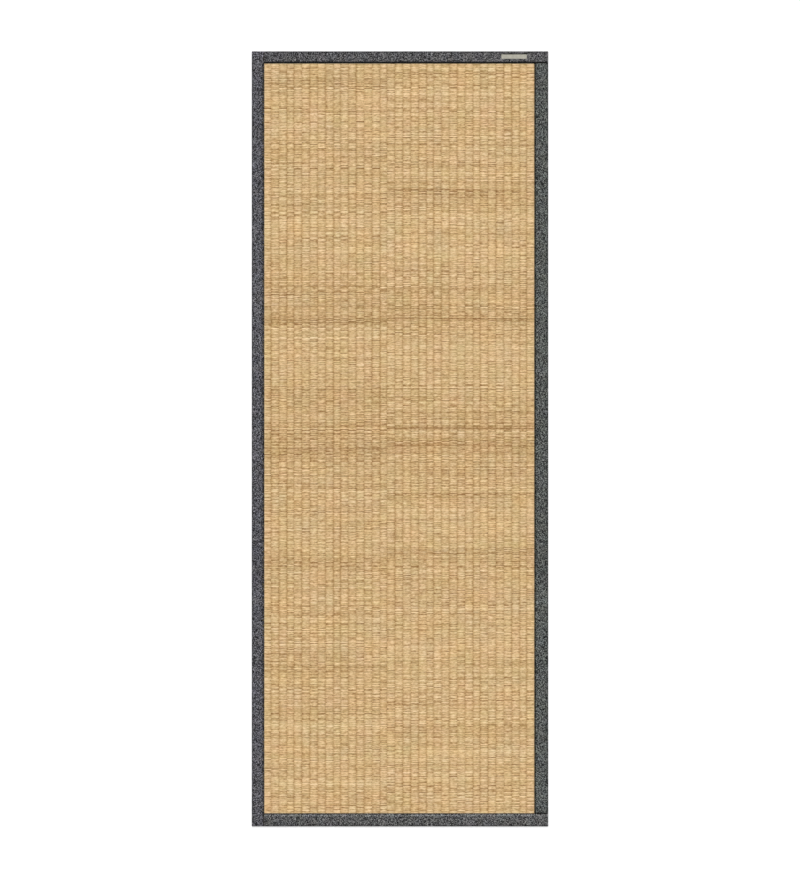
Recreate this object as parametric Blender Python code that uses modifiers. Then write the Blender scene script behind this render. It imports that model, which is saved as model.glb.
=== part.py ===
"""Tatami mat: a rush sheet woven in lengthwise ribs, with its four edges held in folded cloth
tape and a small blank label on the tape near one corner.

Metres, +Z up. The mat lies flat on the ground plane with its middle over the origin. Its length
runs along Y, its width along X, and the label is near the +X +Y corner.
"""

import math

import bmesh
import bpy

# The whole mat, over the outer folds of the tape
MAT_WIDTH = 0.700
MAT_LENGTH = 1.830
CLEARANCE = 0.0003

# Rush sheet: pressed thin inside the tape, full between its edges
PRESSED_THICKNESS = 0.0018
GROOVE_TOP = 0.0025
RIB_RISE = 0.0009
RIBS_IN_GROUP = 6
WIDE_RIB = 0.0187
NARROW_RIB = 0.0164
JOIN_X = -0.0307
RISE_RUN = 0.008
SETTLE_RUN = 0.014
LEAST_STATION = 0.0008

# A rib's section: share of its width, and share of its rise
RIB_SECTION = (
    (0.00, 0.00),
    (0.15, 0.74),
    (0.50, 1.00),
    (0.85, 0.74),
)

# Tape, folded over the sheet's edge: width of each strip as seen from above
TAPE_THICKNESS = 0.0010
LEFT_STRIP = 0.0296
RIGHT_STRIP = 0.0328
TOP_STRIP = 0.0284
BOTTOM_STRIP = 0.0310
FOLD_RADIUS = 0.0016
FREE_EDGE_RADIUS = 0.0008
BUTT_EDGE_RADIUS = 0.0003
CORNER_RADIUS = 0.0011
FOLD_SEGMENTS = 3

# Label
LABEL_WIDTH = 0.0600
LABEL_HEIGHT = 0.0113
LABEL_THICKNESS = 0.0010
LABEL_X = 0.2693
LABEL_Y = 0.9027
LABEL_CORNER = 0.0008

# Colours are linear
RUSH_COLOUR = (0.604, 0.413, 0.209)
TAPE_COLOUR = (0.091, 0.093, 0.093)
LABEL_COLOUR = (0.456, 0.445, 0.381)

# Heights in the folded tape
HALF_WIDTH = MAT_WIDTH / 2
HALF_LENGTH = MAT_LENGTH / 2
PRESSED_UNDER = TAPE_THICKNESS + CLEARANCE
PRESSED_TOP = PRESSED_UNDER + PRESSED_THICKNESS
SLOT_TOP = PRESSED_TOP + CLEARANCE
BINDING_HEIGHT = SLOT_TOP + TAPE_THICKNESS

# The opening between the free edges of the tape, and the reach of the hidden sheet
OPEN_LEFT = -HALF_WIDTH + LEFT_STRIP
OPEN_RIGHT = HALF_WIDTH - RIGHT_STRIP
OPEN_TOP = HALF_LENGTH - TOP_STRIP
OPEN_BOTTOM = -HALF_LENGTH + BOTTOM_STRIP
SHEET_X = HALF_WIDTH - TAPE_THICKNESS - CLEARANCE
SHEET_Y = HALF_LENGTH - TAPE_THICKNESS - CLEARANCE


def clear_scene():
    for old in list(bpy.data.objects):
        bpy.data.objects.remove(old, do_unlink=True)


def new_collection(name):
    made = bpy.data.collections.new(name)
    bpy.context.scene.collection.children.link(made)
    return made


def material(name, colour, roughness):
    made = bpy.data.materials.new(name)
    made.use_nodes = True
    shader = made.node_tree.nodes["Principled BSDF"]
    shader.inputs["Base Color"].default_value = (*colour, 1.0)
    shader.inputs["Roughness"].default_value = roughness
    shader.inputs["Metallic"].default_value = 0.0
    return made


def object_from(bm, name, collection, finish=None):
    mesh = bpy.data.meshes.new(name)
    bm.to_mesh(mesh)
    bm.free()
    if finish:
        mesh.materials.append(finish)
    made = bpy.data.objects.new(name, mesh)
    collection.objects.link(made)
    return made


def box_mesh(low, high):
    """A cube primitive, stretched to run from one corner to the other."""
    bm = bmesh.new()
    bmesh.ops.create_cube(bm, size=1.0)
    for vert in bm.verts:
        for axis in range(3):
            share = vert.co[axis] + 0.5
            vert.co[axis] = low[axis] + share * (high[axis] - low[axis])
    return bm


# Rush sheet


def ribs_across(left, right):
    """Each rib between two sides as its first x and its width. Every sixth rib is narrower."""
    group_width = (RIBS_IN_GROUP - 1) * WIDE_RIB + NARROW_RIB
    x = JOIN_X - math.ceil((JOIN_X - left) / group_width) * group_width
    ribs = []
    while x < right:
        for place in range(RIBS_IN_GROUP):
            width = NARROW_RIB if place == RIBS_IN_GROUP - 1 else WIDE_RIB
            if x + width > left and x < right:
                ribs.append((x, width))
            x += width
    return ribs


def rib_share(x, ribs):
    """How far the top stands at x, from 0 in a groove to 1 on a crest."""
    for start, width in ribs:
        across = (x - start) / width
        if 0.0 <= across < 1.0:
            points = (*RIB_SECTION, (1.0, 0.0))
            for (near, low), (far, high) in zip(points, points[1:]):
                if across <= far:
                    return low + (high - low) * (across - near) / (far - near)
    return 0.0


def smooth(share):
    share = min(max(share, 0.0), 1.0)
    return share * share * (3.0 - 2.0 * share)


def inside_by(x, y):
    """How far a point lies inside the tape's free edges, negative under the tape."""
    return min(x - OPEN_LEFT, OPEN_RIGHT - x, y - OPEN_BOTTOM, OPEN_TOP - y)


def sheet_top(x, y, ribs):
    risen = smooth(inside_by(x, y) / RISE_RUN)
    ribbed = GROOVE_TOP + RIB_RISE * rib_share(x, ribs)
    return PRESSED_TOP + (ribbed - PRESSED_TOP) * risen


def sheet_under(x, y):
    settled = min(max(inside_by(x, y) / SETTLE_RUN, 0.0), 1.0)
    return PRESSED_UNDER * (1.0 - settled)


def edge_stations(low, high):
    """Where the sheet starts to change height, counted from both free edges of the tape."""
    runs = (0.0, RISE_RUN / 2, RISE_RUN, SETTLE_RUN)
    return [low + run for run in runs] + [high - run for run in runs]


def stations_across(ribs):
    """The edges' stations and the ribs' section points, less those that crowd an edge's."""
    edges = edge_stations(OPEN_LEFT, OPEN_RIGHT)
    points = [start + share * width for start, width in ribs for share, _ in RIB_SECTION]
    seen = [x for x in points if OPEN_LEFT < x < OPEN_RIGHT]
    clear = [x for x in seen if min(abs(x - edge) for edge in edges) > LEAST_STATION]
    return sorted([-SHEET_X, SHEET_X, *edges, *clear])


def stations_along():
    return sorted([-SHEET_Y, SHEET_Y, *edge_stations(OPEN_BOTTOM, OPEN_TOP)])


def rush_panel(collection):
    """A flat grid, closed by extruding it, with the ribs raised in the points of its top."""
    ribs = ribs_across(-SHEET_X, SHEET_X)
    across = stations_across(ribs)
    along = stations_along()
    columns = len(across) - 1
    rows = len(along) - 1
    bm = bmesh.new()
    bmesh.ops.create_grid(bm, x_segments=columns, y_segments=rows, size=0.5)
    for vert in bm.verts:
        column = round((vert.co.x + 0.5) * columns)
        row = round((vert.co.y + 0.5) * rows)
        vert.co = (across[column], along[row], 0.0)
    raised = bmesh.ops.extrude_face_region(bm, geom=bm.faces[:])["geom"]
    top = {item for item in raised if isinstance(item, bmesh.types.BMVert)}
    for vert in bm.verts:
        x, y, _ = vert.co
        vert.co.z = sheet_top(x, y, ribs) if vert in top else sheet_under(x, y)
    bmesh.ops.recalc_face_normals(bm, faces=bm.faces[:])
    return object_from(bm, "rush_panel", collection, material("rush", RUSH_COLOUR, 0.62))


# Tape


def sides_of(edge, low, high):
    """The box sides that an edge lies on, such as -X and +Z."""
    middle = (edge.verts[0].co + edge.verts[1].co) / 2
    found = set()
    for axis, letter in enumerate("XYZ"):
        if abs(middle[axis] - low[axis]) < CLEARANCE:
            found.add("-" + letter)
        if abs(middle[axis] - high[axis]) < CLEARANCE:
            found.add("+" + letter)
    return found


def rounding(touched, kinds):
    """The radius of one edge. A fold is round above and below, a free or butted edge above."""
    upright = [kinds[side] for side in touched if side in kinds]
    if len(upright) == 2:
        return CORNER_RADIUS if upright == ["fold", "fold"] else 0.0
    if upright == ["fold"]:
        return FOLD_RADIUS
    if "+Z" not in touched:
        return 0.0
    return {"free": FREE_EDGE_RADIUS, "butt": BUTT_EDGE_RADIUS}[upright[0]]


def strip(name, low, high, kinds, slot, collection):
    """One length of folded tape: a bar with rounded folds, slotted for the edge of the sheet."""
    low = (*low, 0.0)
    high = (*high, BINDING_HEIGHT)
    bm = box_mesh(low, high)
    weights = bm.edges.layers.float.new("bevel_weight_edge")
    for edge in bm.edges:
        edge[weights] = rounding(sides_of(edge, low, high), kinds) / FOLD_RADIUS
    made = object_from(bm, name, collection, material(name, TAPE_COLOUR, 0.85))
    folds = made.modifiers.new("folds", "BEVEL")
    folds.limit_method = "WEIGHT"
    folds.width = FOLD_RADIUS
    folds.segments = FOLD_SEGMENTS
    cut = made.modifiers.new("slot", "BOOLEAN")
    cut.operation = "DIFFERENCE"
    cut.solver = "EXACT"
    cut.object = slot
    return made


def tape_slot(collection):
    """The room that the folded tape keeps for the sheet's pressed edge, all round."""
    low = (-SHEET_X - CLEARANCE, -SHEET_Y - CLEARANCE, TAPE_THICKNESS)
    high = (SHEET_X + CLEARANCE, SHEET_Y + CLEARANCE, SLOT_TOP)
    made = object_from(box_mesh(low, high), "tape_slot", collection)
    made.hide_render = True
    made.display_type = "WIRE"
    return made


def bindings(collection, cutters):
    """The left strip runs the full length. The end strips run from it to the right edge."""
    slot = tape_slot(cutters)
    end_start = OPEN_LEFT + CLEARANCE
    strips = (
        (
            "binding_left",
            (-HALF_WIDTH, -HALF_LENGTH),
            (OPEN_LEFT, HALF_LENGTH),
            {"-X": "fold", "-Y": "fold", "+Y": "fold", "+X": "free"},
        ),
        (
            "binding_top",
            (end_start, OPEN_TOP),
            (HALF_WIDTH, HALF_LENGTH),
            {"+Y": "fold", "+X": "fold", "-Y": "free", "-X": "butt"},
        ),
        (
            "binding_bottom",
            (end_start, -HALF_LENGTH),
            (HALF_WIDTH, OPEN_BOTTOM),
            {"-Y": "fold", "+X": "fold", "+Y": "free", "-X": "butt"},
        ),
        (
            "binding_right",
            (OPEN_RIGHT, OPEN_BOTTOM + CLEARANCE),
            (HALF_WIDTH, OPEN_TOP - CLEARANCE),
            {"+X": "fold", "-X": "free", "-Y": "butt", "+Y": "butt"},
        ),
    )
    for name, low, high, kinds in strips:
        strip(name, low, high, kinds, slot, collection)


# Label


def label(collection):
    """A thin blank tab on the top strip, with rounded corners."""
    under = BINDING_HEIGHT + CLEARANCE
    low = (LABEL_X - LABEL_WIDTH / 2, LABEL_Y - LABEL_HEIGHT / 2, under)
    high = (LABEL_X + LABEL_WIDTH / 2, LABEL_Y + LABEL_HEIGHT / 2, under + LABEL_THICKNESS)
    bm = box_mesh(low, high)
    weights = bm.edges.layers.float.new("bevel_weight_edge")
    for edge in bm.edges:
        touched = sides_of(edge, low, high)
        edge[weights] = 0.0 if touched & {"+Z", "-Z"} else 1.0
    made = object_from(bm, "label", collection, material("label", LABEL_COLOUR, 0.7))
    corners = made.modifiers.new("corners", "BEVEL")
    corners.limit_method = "WEIGHT"
    corners.width = LABEL_CORNER
    corners.segments = FOLD_SEGMENTS
    return made


def main():
    clear_scene()
    mat = new_collection("tatami_mat")
    cutters = new_collection("cutters")
    rush_panel(mat)
    bindings(mat, cutters)
    label(mat)


main()
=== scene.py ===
"""Looks of the tatami mat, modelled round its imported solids.

Metres, +Z up. The mat lies flat with its middle over the origin, its length along Y and its
labelled end towards +Y. The weave is made rush by rush: a rush shows as a float over every
other column of the ribbed sheet, and the rushes beside it show over the columns between.
"""

import math

import bmesh
import bpy
import numpy as np
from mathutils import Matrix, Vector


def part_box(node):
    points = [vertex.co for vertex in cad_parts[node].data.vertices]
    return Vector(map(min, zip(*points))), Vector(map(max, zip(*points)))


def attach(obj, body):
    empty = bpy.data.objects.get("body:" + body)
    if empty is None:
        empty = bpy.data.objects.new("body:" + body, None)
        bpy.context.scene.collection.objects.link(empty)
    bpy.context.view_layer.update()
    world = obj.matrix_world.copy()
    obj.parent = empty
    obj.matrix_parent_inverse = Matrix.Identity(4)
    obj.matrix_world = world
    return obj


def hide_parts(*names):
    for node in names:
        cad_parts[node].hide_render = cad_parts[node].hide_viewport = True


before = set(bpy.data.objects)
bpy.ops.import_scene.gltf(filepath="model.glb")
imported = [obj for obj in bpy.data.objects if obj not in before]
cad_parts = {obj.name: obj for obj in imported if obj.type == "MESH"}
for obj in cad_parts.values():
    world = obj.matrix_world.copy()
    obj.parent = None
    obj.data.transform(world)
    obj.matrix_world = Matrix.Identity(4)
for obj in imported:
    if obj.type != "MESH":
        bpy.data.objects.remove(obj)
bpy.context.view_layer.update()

# The photograph's frame, and the mat's place in it
PICTURE_SIZE = (800, 877)
MAT_ENDS_PX = (51.48, 826.52)
MAT_SIDES_PX = (251.69, 548.31)

# Places taken from the solids
LEFT_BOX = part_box("binding_left")
RIGHT_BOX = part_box("binding_right")
TOP_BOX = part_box("binding_top")
BOTTOM_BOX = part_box("binding_bottom")
SHEET_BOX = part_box("rush_panel")
LABEL_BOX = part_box("label")
HALF_WIDTH = RIGHT_BOX[1][0]
HALF_LENGTH = LEFT_BOX[1][1]
TAPE_TOP = LEFT_BOX[1][2]
OPEN_LEFT = LEFT_BOX[1][0]
OPEN_RIGHT = RIGHT_BOX[0][0]
OPEN_TOP = TOP_BOX[0][1]
OPEN_BOTTOM = BOTTOM_BOX[1][1]
SHEET_X = SHEET_BOX[1][0]
SHEET_Y = SHEET_BOX[1][1]
CREST = SHEET_BOX[1][2]

# Ribs of the rush sheet
RIBS_IN_GROUP = 6
WIDE_RIB = 0.0187
NARROW_RIB = 0.0164
JOIN_X = -0.0307
RIB_RISE = 0.0009
RISE_RUN = 0.008
SETTLE_RUN = 0.014
PRESSED_UNDER = 0.0013
PRESSED_TOP = 0.0031
RIB_SECTION = ((0.0, 0.15, 0.5, 0.85, 1.0), (0.0, 0.74, 1.0, 0.74, 0.0))

# Rushes
RUSH_PITCH = 0.0022
BACK_PITCH = 0.0033
PITCH_SPREAD = 0.17
OVERRUN = 0.0005
RUSH_DEPTH = 0.00050
END_DIP = 0.00045
BACK_DIP = 0.00025
TUCK = 0.0030
SINK = 0.00012
SKEW = 0.00012
LEAN = 0.16
SLIMNESS = 0.07
FRONT_PINCH = 0.16
BACK_PINCH = 0.10
WIDTH_LIMITS = (0.62, 1.45)
GREENEST = 0.45
GREEN_FROM = 0.60

# Waves in which the rows stray along the mat: reach, turns for x and for y, and start
SLOW_WAVE = (0.0009, 9.0, 2.3, 0.6)
QUICK_WAVE = (0.0005, 23.0, -7.0, 0.0)
STRAIGHT_RUN = 0.04

# Shares of a float's length at which it has points, and the core's place below the floats
FRONT_STATIONS = (0.0, 0.06, 0.27, 0.73, 0.94, 1.0)
BACK_STATIONS = (0.0, 0.12, 0.88, 1.0)
CORE_BELOW = 0.00085
CORE_ABOVE = 0.00080
CORE_SETTLE = 0.002

# Tones of the rushes, in steps of about four hundredths of full brightness
TONE_SPREAD = 1.66
TONE_KEPT = 0.965
TONE_OWN = 0.22
TONE_APART = 0.18
BAND_STRENGTH = 0.9

rng = np.random.default_rng(7)


# Mesh tools


def patch_quads(count, rows, columns, ring=False):
    """Faces for many equal patches of rows by columns points. A ring closes its columns."""
    across = columns if ring else columns - 1
    row, column = np.meshgrid(np.arange(rows - 1), np.arange(across), indexing="ij")
    beside = (column + 1) % columns
    corners = (
        row * columns + column,
        (row + 1) * columns + column,
        (row + 1) * columns + beside,
        row * columns + beside,
    )
    one = np.stack([c.ravel() for c in corners], axis=1)
    starts = np.arange(count) * rows * columns
    return (starts[:, None, None] + one[None]).reshape(-1, 4)


def mesh_piece(name, points, quads, finish, flip=False):
    """One smooth object from points and four-sided faces."""
    quads = quads[:, ::-1] if flip else quads
    mesh = bpy.data.meshes.new(name)
    mesh.vertices.add(len(points))
    mesh.vertices.foreach_set("co", np.asarray(points, np.float32).ravel())
    mesh.loops.add(quads.size)
    mesh.loops.foreach_set("vertex_index", np.asarray(quads, np.int32).ravel())
    mesh.polygons.add(len(quads))
    mesh.polygons.foreach_set("loop_start", np.arange(0, quads.size, 4, dtype=np.int32))
    mesh.update(calc_edges=True)
    mesh.validate()
    mesh.polygons.foreach_set("use_smooth", np.full(len(mesh.polygons), True))
    mesh.materials.append(finish)
    made = bpy.data.objects.new(name, mesh)
    bpy.context.scene.collection.objects.link(made)
    return made


def give_values(piece, **values):
    """Numbers at the mesh's points, which its material reads by name."""
    for name, numbers in values.items():
        layer = piece.data.attributes.new(name, "FLOAT", "POINT")
        layer.data.foreach_set("value", np.asarray(numbers, np.float32).ravel())


def give_map(piece, places):
    """A flat map of the surface, from a place for each point."""
    mesh = piece.data
    corner_points = np.empty(len(mesh.loops), np.int32)
    mesh.loops.foreach_get("vertex_index", corner_points)
    layer = mesh.uv_layers.new(name="OFBake")
    layer.data.foreach_set("uv", np.asarray(places, np.float32)[corner_points].ravel())


def lanes(along, across, count):
    """Folds a long strip, given as shares of its length and width, into lanes of a square."""
    lane = np.minimum(np.floor(along * count), count - 1)
    return np.stack([(lane + across) / count, along * count - lane], axis=-1)


# Shader tools


class Value:
    """A number in a shader. Sums and products of these add their own Math nodes."""

    def __init__(self, tree, socket):
        self.tree = tree
        self.socket = socket

    def math(self, operation, first, second=None):
        node = self.tree.nodes.new("ShaderNodeMath")
        node.operation = operation
        for place, term in enumerate((first, second)):
            if isinstance(term, Value):
                self.tree.links.new(term.socket, node.inputs[place])
            elif term is not None:
                node.inputs[place].default_value = term
        return Value(self.tree, node.outputs[0])

    def __add__(self, other):
        return self.math("ADD", self, other)

    def __sub__(self, other):
        return self.math("SUBTRACT", self, other)

    def __rsub__(self, other):
        return self.math("SUBTRACT", other, self)

    def __mul__(self, other):
        return self.math("MULTIPLY", self, other)

    def __truediv__(self, other):
        return self.math("DIVIDE", self, other)

    def __pow__(self, other):
        return self.math("POWER", self, other)

    def __gt__(self, other):
        return self.math("GREATER_THAN", self, other)

    def __mod__(self, other):
        return self.math("FLOORED_MODULO", self, other)

    def floor(self):
        return self.math("FLOOR", self)

    def sine(self):
        return self.math("SINE", self)

    def absolute(self):
        return self.math("ABSOLUTE", self)

    def least(self, other):
        return self.math("MINIMUM", self, other)

    def held(self, low, high):
        return self.math("MINIMUM", self.math("MAXIMUM", self, low), high)

    __radd__ = __add__
    __rmul__ = __mul__


class Finish:
    """A material: its Principled shader, and one way to add any other node."""

    def __init__(self, name, roughness, **constants):
        self.material = bpy.data.materials.new(name)
        self.material.use_nodes = True
        self.tree = self.material.node_tree
        self.shader = self.tree.nodes["Principled BSDF"]
        self.shader.inputs["Roughness"].default_value = roughness
        for socket, number in constants.items():
            self.shader.inputs[socket.replace("_", " ")].default_value = number

    def node(self, kind, settings=None, sockets=None, output=0):
        """Adds a node: first its settings, with a ramp's stops among them, then its sockets."""
        node = self.tree.nodes.new(kind)
        for name, setting in (settings or {}).items():
            if name == "stops":
                self.set_stops(node.color_ramp, setting)
            else:
                setattr(node, name, setting)
        for name, value in (sockets or {}).items():
            if isinstance(value, Value):
                self.tree.links.new(value.socket, node.inputs[name])
            else:
                node.inputs[name].default_value = value
        return Value(self.tree, node.outputs[output])

    @staticmethod
    def set_stops(ramp, stops):
        while len(ramp.elements) < len(stops):
            ramp.elements.new(0.5)
        for element, (place, colour) in zip(ramp.elements, stops):
            element.position = place
            element.color = (*colour, 1.0)

    def value(self, name):
        """A number stored at the mesh's points."""
        return self.node("ShaderNodeAttribute", {"attribute_name": name}, output="Fac")

    def place(self):
        return self.node("ShaderNodeTexCoord", output="Object")

    def vector(self, x, y, z):
        return self.node("ShaderNodeCombineXYZ", None, {"X": x, "Y": y, "Z": z})

    def parts(self, vector):
        split = self.node("ShaderNodeSeparateXYZ", None, {"Vector": vector})
        outputs = split.socket.node.outputs
        return [Value(self.tree, outputs[axis]) for axis in ("X", "Y", "Z")]

    def stretched(self, vector, scales):
        settings = {"operation": "MULTIPLY"}
        return self.node("ShaderNodeVectorMath", settings, {0: vector, 1: scales})

    def noise(self, vector, scale=1.0, detail=2.0, roughness=0.5):
        sockets = {"Vector": vector, "Scale": scale, "Detail": detail, "Roughness": roughness}
        return self.node("ShaderNodeTexNoise", None, sockets, output="Fac")

    def cells(self, vector):
        """A random number for each whole step of a place."""
        return self.node(
            "ShaderNodeTexWhiteNoise", {"noise_dimensions": "3D"}, {"Vector": vector}
        )

    def ramp(self, value, stops):
        return self.node("ShaderNodeValToRGB", {"stops": stops}, {"Fac": value}, output="Color")

    def mixed(self, share, first, second):
        return self.node(
            "ShaderNodeMix",
            {"data_type": "RGBA", "clamp_factor": True},
            {0: share, 6: first, 7: second},
            output=2,
        )

    def drifting(self, colour, drift, tint):
        """Tints a colour, and lets its red and its blue drift a little from place to place."""
        scale, warmth, coolness = drift
        place = self.place()
        warm = self.noise(self.stretched(place, (scale, scale, scale)), 1.0, 1.0)
        cool = self.noise(self.stretched(place, (-scale, scale, scale)), 1.0, 1.0)
        red = (warm - 0.5) * warmth + tint[0]
        blue = (cool - 0.5) * coolness + tint[2]
        return self.stretched(colour, self.vector(red, tint[1], blue))

    def bump(self, height, depth, strength):
        sockets = {"Height": height, "Distance": depth, "Strength": strength}
        return self.node("ShaderNodeBump", None, sockets)

    def feed(self, socket, value):
        self.tree.links.new(value.socket, self.shader.inputs[socket])


def linear(red, green, blue):
    """A colour as a screen shows it, from 0 to 255, in the linear units that shaders use."""
    return tuple((channel / 255) ** 2.2 for channel in (red, green, blue))


# Finishes

# The straw's tones from the darkest to the palest
STRAW = (
    (0.00, linear(136, 98, 53)),
    (0.25, linear(173, 137, 89)),
    (0.50, linear(206, 174, 127)),
    (0.75, linear(230, 201, 155)),
    (1.00, linear(241, 215, 172)),
)
GREEN_STRAW = linear(196, 182, 118)
STRAW_TINT = (1.018, 1.0, 0.975)
STRAW_BRIGHTNESS = 1.072
BACK_BRIGHTNESS = 0.92
TONE_STEP = 0.085
FIBRE_TONE = 0.34
MOTTLE = 1.7

# How a colour drifts: repeats a metre, then how far its red and its blue go
STRAW_DRIFT = (17.0, 0.17, 0.25)
CLOTH_DRIFT = (40.0, 0.16, 0.24)

# Repeats a metre of each grain, across the mat's width and along its length
FIBRE_GRAIN = (70.0, 2600.0, 900.0)
MOTTLE_GRAIN = (130.0, 520.0)
BEAD_GRAIN = (60.0, 450.0)
PULL_GRAIN = (80.0, 1.6)
OWN_GRAIN = 9.0

# The grooves' painted shade, where the rushes dive under the warps: how dark, how beaded, how
# unequal the pull of their warps, and each colour's share
END_SHADE = 0.36
BEADING = 1.6
WARP_PULL = 4.5
PULL_LIMITS = (0.3, 2.0)
SHADE_CHANNEL_SHARES = (0.75, 1.0, 1.4)

# Painted light on the rush beside the tape, against the shade the tape casts, and most of all at
# the top end
PAINTED_EDGE_LIGHT_RUN = 0.0045
PAINTED_EDGE_LIGHT = 0.16
TOP_PAINTED_EDGE_LIGHT = 0.32


def groove_shade(finish, x, y, own):
    """The painted shade on a float where it dives under a warp, bead by bead and groove by groove.
    """
    end = (finish.value("across") * 2.0 - 1.0).absolute() ** 4.0
    grain = finish.vector(x * BEAD_GRAIN[0], y * BEAD_GRAIN[1], own * OWN_GRAIN)
    bead = ((finish.noise(grain, 1.0, 1.0) - 0.5) * BEADING + 0.5).held(0.0, 1.0)
    pull = finish.noise(finish.vector(x * PULL_GRAIN[0], y * PULL_GRAIN[1], 3.0), 1.0, 2.0)
    tight = ((pull - 0.5) * WARP_PULL + 1.0).held(*PULL_LIMITS)
    return end * bead * tight * END_SHADE


def edge_painted_light(x, y):
    """How much painted light the rush gets beside the tape, against the tape's shade."""
    inside_x = (x - OPEN_LEFT).least(OPEN_RIGHT - x)
    inside_y = (y - OPEN_BOTTOM).least(OPEN_TOP - y)
    sides = 1.0 - inside_x.least(inside_y) / PAINTED_EDGE_LIGHT_RUN
    top = 1.0 - (OPEN_TOP - y) / PAINTED_EDGE_LIGHT_RUN
    return sides.held(0.0, 1.0) * PAINTED_EDGE_LIGHT + top.held(0.0, 1.0) * TOP_PAINTED_EDGE_LIGHT


def rush_finish(name, brightness):
    """Dried rush: straw tones by rush, fine fibres along it, painted shade where it dives under and
    painted light beside the tape.
    """
    finish = Finish(name, 0.55, Specular_IOR_Level=0.35)
    place = finish.place()
    x, y = finish.parts(place)[:2]
    own = finish.value("tone")
    fibres = finish.noise(finish.stretched(place, FIBRE_GRAIN), 1.0, 3.0, 0.6)
    grain = finish.vector(x * MOTTLE_GRAIN[0], y * MOTTLE_GRAIN[1], own * OWN_GRAIN)
    mottle = finish.noise(grain, 1.0, 3.0, 0.55)
    tone = own * TONE_STEP + 0.5 + (fibres - 0.5) * FIBRE_TONE + (mottle - 0.5) * MOTTLE
    # The tone takes painted light beside the tape
    straw = finish.ramp((tone + edge_painted_light(x, y)).held(0.0, 1.0), STRAW)
    green = finish.mixed(finish.value("green"), straw, (*GREEN_STRAW, 1.0))
    drifted = finish.drifting(green, STRAW_DRIFT, STRAW_TINT)
    # sunk: painted shade in the grooves, a little warmer than grey
    sunk = groove_shade(finish, x, y, own)
    shades = [(1.0 - sunk * share) * brightness for share in SHADE_CHANNEL_SHARES]
    finish.feed("Base Color", finish.stretched(drifted, finish.vector(*shades)))
    finish.feed("Roughness", 0.44 + fibres * 0.26)
    finish.feed("Normal", finish.bump(fibres, 0.00022, 0.8))
    return finish.material


def core_finish():
    """The hidden middle of the sheet, seen only in the gaps between the rushes, its dark brown
    painted shade for those gaps.
    """
    finish = Finish("rush_core", 0.8, Specular_IOR_Level=0.2)
    grain = finish.noise(finish.stretched(finish.place(), (120.0, 900.0, 200.0)), 1.0, 3.0)
    # Dark browns: painted shade in the gaps between the rushes
    stops = ((0.2, linear(96, 70, 38)), (0.8, linear(148, 114, 70)))
    finish.feed("Base Color", finish.ramp(grain, stops))
    finish.feed("Roughness", 0.7 + grain * 0.2)
    finish.feed("Normal", finish.bump(grain, 0.0003, 0.6))
    return finish.material


# Tape cloth: the yarns' pitch, and the length of their dark and grey dashes in yarns
YARN = 0.0012
DASH = 2.0
DASH_STARTS = 9.0
CLOTH_TONE = 0.258
FLECK_CONTRAST = 1.36
FIBRE_CONTRAST = 0.9
WEAR_GRAIN = 110.0
WEAR = 0.28
# Painted shade where the yarns dip under each other, reckoned from the weave's mean height
RELIEF_SHADE = 0.30
MEAN_RELIEF = 0.64
CLOTH = (
    (0.05, linear(20, 20, 21)),
    (0.40, linear(72, 72, 73)),
    (0.70, linear(124, 124, 124)),
    (0.97, linear(190, 190, 188)),
)


def plain_weave(finish, along, around):
    """The upper yarn's height, fleck and fibres, from places in yarns along and round the tape."""
    warp, weft = around.floor(), along.floor()
    over = ((warp + weft) % 2.0) > 0.5

    def upper(of_warp, of_weft):
        return of_warp * over + of_weft * (1.0 - over)

    warp_round = ((around - warp) * math.pi).sine()
    weft_round = ((along - weft) * math.pi).sine()
    warp_start = finish.cells(finish.vector(warp, 0.0, 3.0)) * DASH_STARTS
    weft_start = finish.cells(finish.vector(0.0, weft, 5.0)) * DASH_STARTS
    warp_dash = (along / DASH + warp_start).floor()
    weft_dash = (around / DASH + weft_start).floor()
    warp_fleck = finish.cells(finish.vector(warp, warp_dash, 1.0))
    weft_fleck = finish.cells(finish.vector(weft_dash, weft, 2.0))
    lengthwise = finish.noise(finish.vector(along * 0.6, around * 6.0, 0.0), 1.0, 2.0)
    crosswise = finish.noise(finish.vector(along * 6.0, around * 0.6, 5.0), 1.0, 2.0)
    height = upper(warp_round, weft_round)
    return height, upper(warp_fleck, weft_fleck), upper(lengthwise, crosswise)


def tape_finish(name, tint):
    """Plain weave of coarse yarns spun black and grey in dashes, with painted shade between the
    yarns and along its edges, and a painted highlight along the bottom tape's inner edge.
    """
    finish = Finish(name, 0.85, Specular_IOR_Level=0.2, Sheen_Weight=0.12, Sheen_Roughness=0.5)
    place = finish.place()
    wander = (finish.noise(place, 260.0, 1.0) - 0.5) * 0.5
    along = finish.value("along") / YARN + wander
    around = finish.value("around") / YARN + wander
    height, fleck, fibres = plain_weave(finish, along, around)
    wear = finish.noise(place, WEAR_GRAIN, 2.0)
    tone = CLOTH_TONE + (fleck - 0.5) * FLECK_CONTRAST + (fibres - 0.5) * FIBRE_CONTRAST
    # Lower parts of the weave get painted shade
    tone = tone + (height - MEAN_RELIEF) * RELIEF_SHADE + (wear - 0.5) * WEAR
    # rim: painted shade at the tape's edges, and the bottom tape's painted highlight
    cloth = finish.ramp((tone + finish.value("rim")).held(0.0, 1.0), CLOTH)
    finish.feed("Base Color", finish.drifting(cloth, CLOTH_DRIFT, tint))
    finish.feed("Roughness", 0.74 + fibres * 0.22)
    finish.feed("Normal", finish.bump(height + fibres * 0.5, 0.0003, 0.9))
    return finish.material


# Thread: the twist in radians a metre, and how much the stitches differ in tone
TWIST = 5200.0
STITCH_TONE = 1.2


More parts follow.
